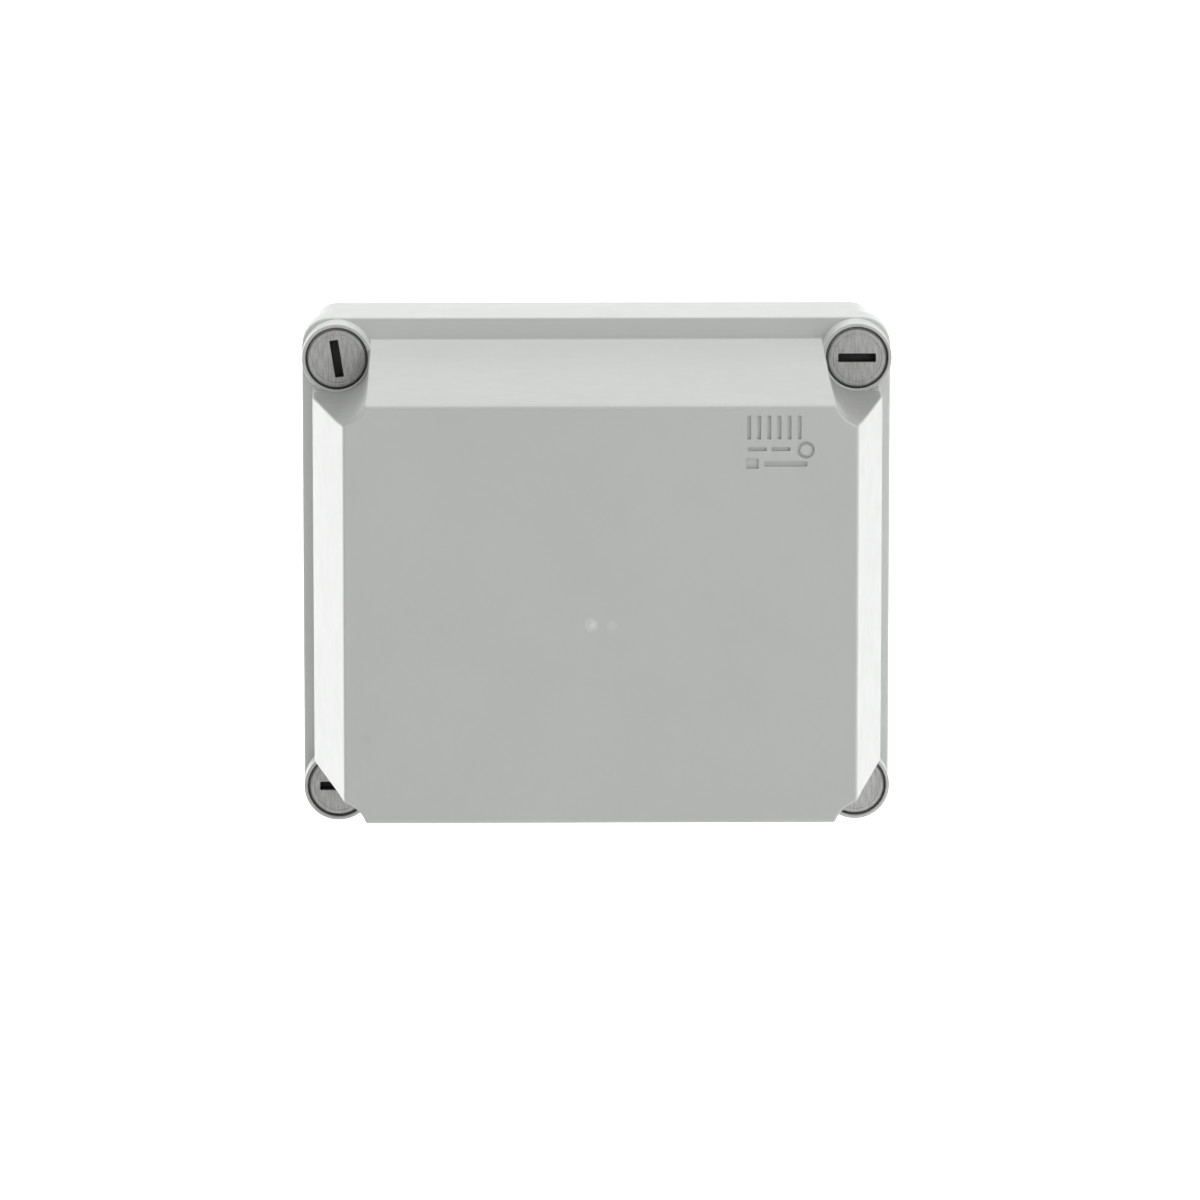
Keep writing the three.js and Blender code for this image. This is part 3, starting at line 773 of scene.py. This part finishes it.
def raised_rings(inset, pocket, back, front, edge, side_edge, flare):
    """Rings of the raised box, set in by a wall, with a rounded front edge and a flared foot.

    Each level is (depth, half width, half height, shrinkage in x, shrinkage in y).
    """
    straight = front - edge
    levels = [(FLANGE_FRONT + RAISED_LEVELS[1][0], *raised_size(RAISED_LEVELS[1][0]), 0.0, 0.0)]
    for i in range(RAISED_STEPS + 1):
        depth = back + (straight - back) * i / RAISED_STEPS
        size = raised_size(max(depth, FLANGE_FRONT) - FLANGE_FRONT)
        levels.append((depth, *size, 0.0, 0.0))
    for i in range(1, FLARE_STEPS + 1 if flare else 1):
        turn = math.pi / 2 * i / FLARE_STEPS
        rise = flare * (1 - math.cos(turn))
        spread = -flare * (1 - math.sin(turn))
        levels.append((FLANGE_FRONT + rise, *raised_size(rise), spread, spread))
    end = raised_size(straight - FLANGE_FRONT)
    for i in range(1, FRONT_STEPS + 1):
        turn = math.pi / 2 * i / FRONT_STEPS
        fall = 1 - math.cos(turn)
        levels.append((straight + edge * math.sin(turn), *end, side_edge * fall, edge * fall))
    rings = []
    for depth, half_x, half_y, extra_x, extra_y in sorted(levels):
        outline = raised_outline(
            half_x - inset - extra_x, half_y - inset - extra_y, pocket + extra_x, RAISED_CORNER)
        rings.append(at_depth(outline, depth))
    return rings


def boss(x, y):
    """The round wall about one lid screw, seen from outside."""
    return turned([
        (BOSS_RADIUS, LID.back),
        (BOSS_RADIUS, BOSS_FRONT - BOSS_EDGE),
        (BOSS_RADIUS - 0.1, BOSS_FRONT - 0.1),
        (BOSS_RADIUS - BOSS_EDGE, BOSS_FRONT),
    ], x, y)


def recess(x, y):
    """The space for one lid screw's head, a little flared at its mouth."""
    return turned([
        (RECESS_RADIUS, RECESS_FLOOR),
        (RECESS_RADIUS, BOSS_FRONT - BOSS_EDGE),
        (RECESS_RADIUS + 0.25, BOSS_FRONT + 0.01),
        (RECESS_RADIUS + 0.25, BOSS_FRONT + PAST),
    ], x, y)


def lid_rib():
    """The rib on the lid's back that reaches into the base, inside the gasket."""
    back = PLATE_BACK - RIB_DEPTH
    half_x = BASE.right - WALL - GAP
    half_y = BASE.top - WALL - GAP
    outside = notched_slab(half_x, half_y, POST_RADIUS + GAP, back, FLANGE_FRONT - PAST)
    inside = notched_slab(
        half_x - RIB_WALL_X, half_y - RIB_WALL_Y, POST_RADIUS + RIB_WALL_AT_POST, back - PAST,
        FLANGE_FRONT)
    return cut(outside, inside)


def lid_casing():
    """The deep lid: flange and skirt, raised box, screw bosses, inner rib and moulded marks."""
    body = rectangle_slab(
        LID.right, LID.top, FLANGE_CORNER, LID.back, FLANGE_FRONT, 0.4, FLANGE_EDGE)
    raised = loft(raised_rings(
        0, POCKET_RADIUS, FLANGE_FRONT - PAST, LID.front,
        edge=FRONT_EDGE, side_edge=FRONT_EDGE_AT_SIDE, flare=0.5))
    body = joined(body, raised, *at_corners(boss))
    skirt = rectangle_slab(
        BASE.right - RIM_STEP + GAP, BASE.top - RIM_STEP + GAP, BASE_CORNER - RIM_STEP + GAP,
        LID.back - PAST, PLATE_BACK)
    space = loft(raised_rings(
        LID_INSET, POCKET_RADIUS + WALL, PLATE_BACK - PAST, LID.front - WALL,
        edge=1.5, side_edge=1.0, flare=0))
    body = cut(body, skirt, space)
    body = joined(body, lid_rib())
    body = cut(body, *at_corners(recess), *moulded_marks())
    body = cut(body, *at_corners(
        lambda x, y: rod(SHANK_RADIUS + 0.4, LID.back, RECESS_FLOOR + PAST, x, y)))
    return joined(body, gate_mark(*GATE))


def mark_bar(left, right, bottom, top):
    """A cutter for one plain bar of the moulded marks on the face."""
    return rectangle_slab(
        (right - left) / 2, (top - bottom) / 2, 0.25, LID.front - MARK_DEPTH, LID.front + PAST,
        0, 0, (left + right) / 2, (bottom + top) / 2)


def mark_ring():
    """A cutter for the plain ring at the right of the marks."""
    back = LID.front - MARK_DEPTH
    x = MARK_LEFT + MARK_RING[0]
    y = MARK_TOP - MARK_RING[1]
    ring = rod(MARK_RING_OUTER, back, LID.front + PAST, x, y)
    return cut(ring, rod(MARK_RING_INNER, back - PAST, LID.front + 2 * PAST, x, y))


def moulded_marks():
    """Cutters for a row of ribs, a ring and bars: plain relief without any lettering."""
    cutters = [mark_ring()]
    for i in range(MARK_RIBS):
        left = MARK_LEFT + MARK_RIB_START + MARK_RIB_PITCH * i
        cutters.append(mark_bar(left, left + MARK_RIB_WIDTH, MARK_TOP - MARK_RIB_HEIGHT, MARK_TOP))
    for left, right, upper, lower in MARK_BARS:
        cutters.append(mark_bar(
            MARK_LEFT + left, MARK_LEFT + right, MARK_TOP - lower, MARK_TOP - upper))
    return cutters


def gate_mark(x, y):
    """The low stub that the mould's gate leaves on the face."""
    return turned([
        (GATE_RADIUS, LID.front - PAST),
        (GATE_RADIUS, LID.front),
        (GATE_RADIUS * 0.8, LID.front + GATE_HEIGHT * 0.5),
        (GATE_RADIUS * 0.45, LID.front + GATE_HEIGHT * 0.9),
        (GATE_RADIUS * 0.15, LID.front + GATE_HEIGHT),
    ], x, y, segments=32)


def gasket_ring():
    """The flat foam ring between the lid and the base's rim."""
    half_x = GASKET.right
    half_y = GASKET.top
    post = POST_RADIUS - GAP
    outside = notched_slab(half_x, half_y, post - GASKET_WIDTH, GASKET.back, GASKET.front, 0.4)
    inside = notched_slab(
        half_x - GASKET_WIDTH, half_y - GASKET_WIDTH, post, GASKET.back - PAST, GASKET.front + PAST)
    return cut(outside, inside)


# ------------------------------------------------------------------ lid screws

def lid_screw_body(slot_turn):
    """A quarter-turn screw about the origin: shank, collar, lugs and slotted head."""
    tip = SCREW.back
    collar = PLATE_BACK - GAP
    neck = RECESS_FLOOR + GAP
    body = turned([
        (3.2, tip),
        (SHANK_RADIUS, tip + 0.8),
        (SHANK_RADIUS, collar - 1.2),
        (COLLAR_RADIUS, collar - 1.2),
        (COLLAR_RADIUS, collar),
        (SHANK_RADIUS, collar),
        (SHANK_RADIUS, neck),
        (HEAD_RADIUS, neck),
        (HEAD_SKIRT, neck + 0.5),
        (HEAD_SKIRT, HEAD_FRONT - 1.5),
        (HEAD_SKIRT - 0.15, HEAD_FRONT - 1.3),
        (HEAD_RADIUS, HEAD_FRONT - 1.3),
        (HEAD_RADIUS, HEAD_FRONT - 0.9),
        (HEAD_RADIUS - 0.12, HEAD_FRONT - 0.35),
        (HEAD_RADIUS - 0.45, HEAD_FRONT - 0.06),
        (HEAD_RADIUS - 0.8, HEAD_FRONT),
        (HEAD_RADIUS - 1.05, HEAD_FRONT),
        (HEAD_RADIUS - 1.2, HEAD_FRONT - 0.16),
        (HEAD_RADIUS - 1.4, HEAD_FRONT - 0.16),
        (HEAD_RADIUS - 1.55, HEAD_FRONT - 0.02),
    ], segments=96)
    lugs = rectangle_slab(*LUG_HALF, 0.5, tip + LUG_BACK, tip + LUG_FRONT, 0.3, 0.3)
    slot = rectangle_slab(*SLOT_HALF, 0.3, HEAD_FRONT - SLOT_DEPTH, HEAD_FRONT + PAST)
    body = cut(joined(body, lugs), slot)
    body.data.transform(Matrix.Rotation(-slot_turn, 4, "Y"))
    return body


def slot_turn_of(node):
    """How far a lid screw's slot is turned from level, read from the lugs on the CAD node."""
    middle = (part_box(node)[0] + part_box(node)[1]) / 2
    across = along = 0.0
    for vertex in frame["nodes"][node].data.vertices:
        offset = vertex.co - middle
        on_lug = -vertex.co.y / MM < SCREW.back + LUG_FRONT + 0.5
        if on_lug and math.hypot(offset.x, offset.z) > (SHANK_RADIUS + 0.5) * MM:
            turn = 2 * math.atan2(offset.z, offset.x)
            across += math.cos(turn)
            along += math.sin(turn)
    return math.atan2(along, across) / 2


def add_lid_screws(material):
    """The four lid screws, each with its slot turned as on its CAD node."""
    for name in sorted(frame["bodies"]):
        if name.startswith("lid_screw_"):
            body = lid_screw_body(slot_turn_of(name))
            body.location = place(*centre_of(extent(name)), 0)
            piece(body, name + "_moulding", material, name, [name])


# ------------------------------------------------------------------ caps, rail and terminals

def wall_screw_cap(box):
    """A plug with a stem and a slightly dished crown."""
    radius = (box.right - box.left) / 2
    seat = CAP_SEAT + GAP
    return turned([
        (CAP_STEM_RADIUS - 0.35, box.back),
        (CAP_STEM_RADIUS, box.back + 0.4),
        (CAP_STEM_RADIUS, seat),
        (radius - 0.2, seat),
        (radius, seat + 0.2),
        (radius, box.front - 0.8),
        (radius - 0.3, box.front - 0.3),
        (radius - 0.9, box.front),
        (radius - 1.6, box.front),
        (radius - 2.0, box.front - 0.25),
    ], *centre_of(box), segments=48)


def pan_screw(x, y, tip, seat, front, shank, head, turn):
    """A slotted pan-head screw; its slot is turned from level."""
    height = front - seat
    profile = [
        (shank * 0.6, tip),
        (shank, tip + shank * 0.5),
        (shank, seat),
        (head - 0.15, seat),
        (head, seat + 0.15),
        (head, seat + height * 0.5),
    ]
    for step in range(1, ROUND_STEPS):
        share = math.pi / 2 * step / ROUND_STEPS
        profile.append((
            head * (0.72 + 0.28 * math.cos(share)), seat + height * (0.5 + 0.5 * math.sin(share))))
    body = turned(profile + [(head * 0.6, front)], segments=SMALL_CIRCLE)
    body = cut(body, rectangle_slab(head + PAST, 0.4, 0.05, seat + height * 0.45, front + PAST))
    body.data.transform(Matrix.Rotation(-turn, 4, "Y"))
    body.data.transform(Matrix.Translation(place(x, y, 0)))
    return body


def mirrored(half):
    """A closed outline from its (y, depth, rounding) corners on one side of y = 0."""
    return eased(half + [(-y, depth, rounding) for y, depth, rounding in reversed(half)])


def top_hat_rail():
    """The rail, bent from sheet, with its row of slots."""
    edge = RAIL.top
    back = RAIL.back
    front = RAIL.front
    inner = RAIL_BEND
    outer = inner + RAIL_SHEET
    body = extruded(mirrored([
        (RAIL_WEB_HALF, back, outer),
        (RAIL_WEB_HALF, front - RAIL_SHEET, inner),
        (edge, front - RAIL_SHEET, 0.15),
        (edge, front, 0.15),
        (RAIL_WEB_HALF - RAIL_SHEET, front, outer),
        (RAIL_WEB_HALF - RAIL_SHEET, back + RAIL_SHEET, inner),
    ]), RAIL.left, RAIL.right)
    half_x, half_y = RAIL_SLOT
    pitch = centre_of(extent("rail_screw_right"))[0] / 2
    slots = []
    for i in range(-2, 3):
        slots.append(rectangle_slab(
            half_x, half_y, half_y - 0.05, back - PAST, back + outer + PAST, 0, 0, pitch * i))
    return cut(body, *slots)


def rail_foot():
    """The corners of an outline that grips the rail's edges."""
    edge = RAIL.top
    behind = RAIL.front - RAIL_SHEET - GAP
    return [
        (edge + GAP, RAIL.front + GAP, 0.15),
        (edge + GAP, behind, 0.15),
        (edge - 1.0, behind, 0.15),
        (edge - 1.0, RAIL_LIP, 0.3),
        (edge + 2.3, RAIL_LIP, 0.6),
    ]


def terminal_outline(box):
    """The outline of a terminal and its end plate, stepped towards the front."""
    return mirrored(rail_foot() + [
        (box.top, RAIL.front + 1, 0.8),
        (box.top, 32, 2.0),
        (18.2, 41.5, 1.5),
        (6, 44, 0.5),
        (6, box.front, 0.6),
    ])


def funnel(x, side, mouth):
    """A cutter for a wire's entry, along y, wider at its mouth."""
    profile = ((CLAMP_Y - 0.5, 2.4), (mouth - 2.4, 2.5), (mouth - 0.7, 3.05), (mouth + PAST, 3.6))
    rings = []
    for reach, radius in profile:
        around = circle(radius, segments=SMALL_CIRCLE)
        rings.append([(x + point.x, side * reach, ENTRY_DEPTH + point.y) for point in around])
    return loft(rings)


def screw_bore(x, y):
    """A cutter for the head of one clamp screw, countersunk at its mouth."""
    start, end = COUNTERSINK
    profile = [(BORE_RADIUS, SCREW_LEDGE), (BORE_RADIUS, start), (COUNTERSINK_RADIUS, end)]
    return turned(profile, x, y, SMALL_CIRCLE)


def terminal_housing(box):
    """One terminal: closed on its left, with chambers for the clamps, bores and wire entries."""
    body = bevelled(extruded(terminal_outline(box), box.left, box.right), 0.3)
    inside = box.left + SIDE_WALL
    beyond = box.right + PAST
    half = CLAMP_HALF + 0.5
    x = box.left + CLAMP_OFFSET
    width = (beyond - inside) / 2
    middle = (inside + beyond) / 2
    cutters = [rectangle_slab(width, CLAMP_Y, 0.2, *BAR_SLOT, 0, 0, middle)]
    for side in (-1, 1):
        y = side * CLAMP_Y
        cutters += [
            rectangle_slab(width, half, 0.4, *CHAMBER, 0, 0, middle, y),
            rod(THREAD_RADIUS, CHAMBER[1] - PAST, box.front, x, y, SMALL_CIRCLE),
            screw_bore(x, y),
            funnel(x, side, box.top),
        ]
    marker = rectangle_slab(
        (box.right - box.left) / 2 - MARKER_MARGIN, MARKER_HALF, 0.5, box.front - MARKER_DEPTH,
        box.front + PAST, 0, 0, (box.left + box.right) / 2)
    return cut(body, *cutters, marker)


def end_plate(box):
    """The plate that closes the open side of the last terminal."""
    return bevelled(extruded(terminal_outline(box), box.left, box.right), 0.3)


def end_stop(box):
    """A clamp at the end of the row, with a countersunk screw hole and grip grooves."""
    body = bevelled(extruded(mirrored(rail_foot() + [
        (box.top, RAIL.front + 1, 0.8),
        (box.top, 27, 1.5),
        (12, box.front, 1.5),
    ]), box.left, box.right), 0.35)
    x, y = centre_of(box)
    cutters = [
        rod(THREAD_RADIUS, *STOP_BORE, x, y, SMALL_CIRCLE),
        turned([
            (STOP_SCREW_RADIUS, STOP_SCREW_FLOOR),
            (STOP_SCREW_RADIUS, box.front - 0.4),
            (STOP_SCREW_RADIUS + 0.5, box.front + 0.1),
            (STOP_SCREW_RADIUS + 0.5, box.front + PAST),
        ], x, y, SMALL_CIRCLE),
    ]
    for side in (-1, 1):
        for step in range(GROOVES):
            cutters.append(rectangle_slab(
                5, 0.35, 0.1, box.front - 0.5, box.front + PAST, 0, 0, x,
                side * (GROOVE_START + GROOVE_PITCH * step)))
    return cut(body, *cutters)


def current_bar(box):
    """The flat bar that joins a terminal's two clamps."""
    x, y = centre_of(box)
    return rectangle_slab(box.right - x, box.top - y, 0.4, box.back, box.front, 0.2, 0.2, x, y)


def clamp_yoke(box):
    """A rising clamp: a square ring about the bar, with a threaded hole in its front side."""
    x, y = centre_of(box)
    body = rectangle_slab(box.right - x, box.top - y, 0.5, box.back, box.front, 0.3, 0.3, x, y)
    window = rectangle_slab(
        THREAD_RADIUS, box.top - y + PAST, 0.3, box.back + 1, box.front - 1.8, 0.3, 0.3, x, y)
    return cut(body, window, rod(THREAD_RADIUS, box.front - 3, box.front + PAST, x, y, SMALL_CIRCLE))


def add_fixings(plastic, zinc, steel):
    """The caps over the wall screws, the rail and the screws that hold it."""
    for name in sorted(frame["nodes"]):
        box = extent(name)
        if name.startswith("wall_screw_cap"):
            piece(wall_screw_cap(box), name + "_plug", plastic, "base", [name])
        elif name.startswith("rail_screw"):
            x, y = centre_of(box)
            body = pan_screw(
                x, y, box.back, box.back + 5.5, box.front, shank=1.9, head=4.4, turn=0.6)
            piece(body, name + "_pan_head", steel, "base", [name])
    piece(top_hat_rail(), "top_hat_rail", zinc, "base", ["din_rail"])


def add_end_pieces(plastic, steel):
    """The end stops with their screws, and the plate that closes the last terminal."""
    for side in ("left", "right"):
        name = "end_stop_" + side
        screw = "end_stop_screw_" + side
        piece(end_stop(extent(name)), name + "_block", plastic, "base", [name])
        box = extent(screw)
        x, y = centre_of(box)
        body = pan_screw(
            x, y, box.back, box.front - 2.2, box.front, shank=1.75, head=2.7, turn=1.1)
        piece(body, screw + "_pan_head", steel, "base", [screw])
    piece(end_plate(extent("end_plate")), "end_plate_sheet", plastic, "base", ["end_plate"])


def add_terminal(name, plastic, zinc, steel, tin):
    """One terminal with its bar, and two clamps that rise as their screws turn."""
    piece(terminal_housing(extent(name)), name + "_housing", plastic, "base", [name])
    bar = name + "_bar"
    piece(current_bar(extent(bar)), bar + "_strip", tin, "base", [bar])
    for row in ("upper", "lower"):
        yoke = name + "_yoke_" + row
        piece(clamp_yoke(extent(yoke)), yoke + "_ring", zinc, yoke, [yoke])
        screw = name + "_screw_" + row
        box = extent(screw)
        x, y = centre_of(box)
        turn = math.radians(CLAMP_SCREW_TURN)
        body = pan_screw(
            x, y, box.back, box.front - 2.4, box.front, shank=1.75, head=2.4, turn=turn)
        piece(body, screw + "_pan_head", steel, screw, [screw])


# ------------------------------------------------------------------ stage, light and camera

def studio_paper():
    """Pale paper, which glows of itself behind the object and far out all round it."""
    material, tree, shader = new_material("studio_paper")
    tone = ranged(tree, noise(tree, 3, 2), 0, 1)
    paper = mixed(tree, tone, (0.90, 0.90, 0.90), (0.93, 0.93, 0.93))
    tree.links.new(paper, shader.inputs["Base Color"])
    shader.inputs["Roughness"].default_value = 0.9
    behind = ranged(tree, own_value(tree, "Y"), 0, 1, *GLOW_BEHIND)
    distance = vector_step(tree, "LENGTH", own_point(tree)).outputs["Value"]
    far = ranged(tree, distance, 0, 1, *GLOW_FAR)
    above = ranged(tree, own_value(tree, "Z"), 0, 1, *GLOW_HEIGHT)
    glow = mixed(tree, far, mixed(tree, behind, BLACK, WHITE), WHITE)
    tree.links.new(mixed(tree, above, glow, BLACK), shader.inputs["Emission Color"])
    shader.inputs["Emission Strength"].default_value = GLOW
    return material


def sweep_profile():
    """The sweep from its front edge to its top, as (y, z) in metres."""
    start = SWEEP_BACK - SWEEP_BEND
    profile = [(-SWEEP_HALF, FLOOR_LEVEL), (start, FLOOR_LEVEL)]
    for i in range(1, BEND_STEPS + 1):
        turn = math.pi / 2 * i / BEND_STEPS
        rise = SWEEP_BEND * (1 - math.cos(turn))
        profile.append((start + SWEEP_BEND * math.sin(turn), FLOOR_LEVEL + rise))
    return profile + [(SWEEP_BACK, SWEEP_TOP)]


def add_stage():
    """A plain pale floor that sweeps up into a backdrop."""
    mesh = bmesh.new()
    rows = []
    for y, z in sweep_profile():
        rows.append([mesh.verts.new((side * SWEEP_HALF, y, z)) for side in (-1, 1)])
    for (a, b), (c, d) in zip(rows, rows[1:]):
        mesh.faces.new((a, b, d, c))
    data = bpy.data.meshes.new("sweep")
    mesh.to_mesh(data)
    mesh.free()
    data.materials.append(studio_paper())
    data.polygons.foreach_set("use_smooth", [True] * len(data.polygons))
    sweep = bpy.data.objects.new("sweep", data)
    bpy.context.scene.collection.objects.link(sweep)


def add_light(name, location, width, height, power):
    """A soft box that faces the object."""
    light = bpy.data.lights.new(name, "AREA")
    light.shape = "RECTANGLE"
    light.size = width
    light.size_y = height
    light.energy = power
    lamp = bpy.data.objects.new(name, light)
    lamp.location = location
    lamp.rotation_euler = (-Vector(location)).to_track_quat("-Z", "Y").to_euler()
    bpy.context.scene.collection.objects.link(lamp)


def add_lighting():
    """Soft white surroundings, with the main light above the camera and to its right."""
    world = bpy.data.worlds.new("studio")
    world.use_nodes = True
    background = world.node_tree.nodes["Background"]
    background.inputs["Color"].default_value = (*WHITE, 1)
    background.inputs["Strength"].default_value = 0.32
    bpy.context.scene.world = world
    add_light("key_light", (1.3, -2.6, 1.5), 2.0, 2.0, 23)
    add_light("overhead_light", (0, 0.05, 2.6), 2.0, 1.0, 39)
    add_light("right_light", (2.6, -0.2, 0.2), 1.6, 1.6, 19)
    add_light("left_light", (-2.4, 1.2, 0), 1.4, 1.4, 39)
    add_light("rear_light", (0, 2.2, 1.6), 3.0, 0.8, 7)


def add_camera():
    """A long lens from just above the box, fitted to the photograph's viewing angle."""
    target = Vector((0.001072, -0.0625, -0.010164))
    distance = 2.39694
    elevation = math.radians(9.446)
    azimuth = math.radians(0.843)
    data = bpy.data.cameras.new("camera")
    data.sensor_width = 36
    data.lens = 240.67
    data.clip_end = 50
    camera = bpy.data.objects.new("camera", data)
    back = Vector((
        -math.sin(azimuth) * math.cos(elevation),
        -math.cos(azimuth) * math.cos(elevation),
        math.sin(elevation)))
    camera.location = target + back * distance
    camera.rotation_euler = (-back).to_track_quat("-Z", "Y").to_euler()
    bpy.context.scene.collection.objects.link(camera)
    bpy.context.scene.camera = camera


# ------------------------------------------------------------------ the object

bpy.context.scene.view_settings.view_transform = "Standard"
add_camera()
add_stage()
add_lighting()

housing = housing_plastic((0.545, 0.56, 0.545))
piece(base_casing(), "base_moulding", housing, "base", ["base_shell"])
piece(lid_casing(), "lid_moulding", housing, "lid", ["lid_shell"])
# The second colour is the painted shade in the slot and ring gap.
add_lid_screws(screw_plastic((0.445, 0.45, 0.435), (0.05, 0.05, 0.05)))

rubber = moulded_plastic("gasket_foam", (0.03, 0.03, 0.032), 0.8, 0.05)
piece(gasket_ring(), "gasket_ring", rubber, "lid", ["lid_gasket"])

zinc_plate = plated_metal("zinc_plate", (0.62, 0.63, 0.64), 0.34)
screw_steel = plated_metal("screw_steel", (0.55, 0.56, 0.57), 0.28)
tin_plate = plated_metal("tin_plate", (0.68, 0.64, 0.57), 0.3)
add_fixings(moulded_plastic("cap_plastic", (0.60, 0.61, 0.59)), zinc_plate, screw_steel)
add_end_pieces(moulded_plastic("stop_plastic", (0.17, 0.18, 0.19), 0.5), screw_steel)
grey = moulded_plastic("terminal_grey_plastic", (0.29, 0.30, 0.29), 0.48)
blue = moulded_plastic("terminal_blue_plastic", (0.03, 0.13, 0.40), 0.48)
earth = striped_plastic("terminal_earth_plastic", (0.10, 0.32, 0.04), (0.78, 0.62, 0.03))
for terminal, plastic, slot in (
    ("phase_terminal_1", grey, "terminal_grey"),
    ("phase_terminal_2", grey, "terminal_grey"),
    ("phase_terminal_3", grey, "terminal_grey"),
    ("neutral_terminal", blue, "terminal_blue"),
    ("earth_terminal", earth, "terminal_earth"),
):
    add_terminal(terminal, plastic, zinc_plate, screw_steel, tin_plate)
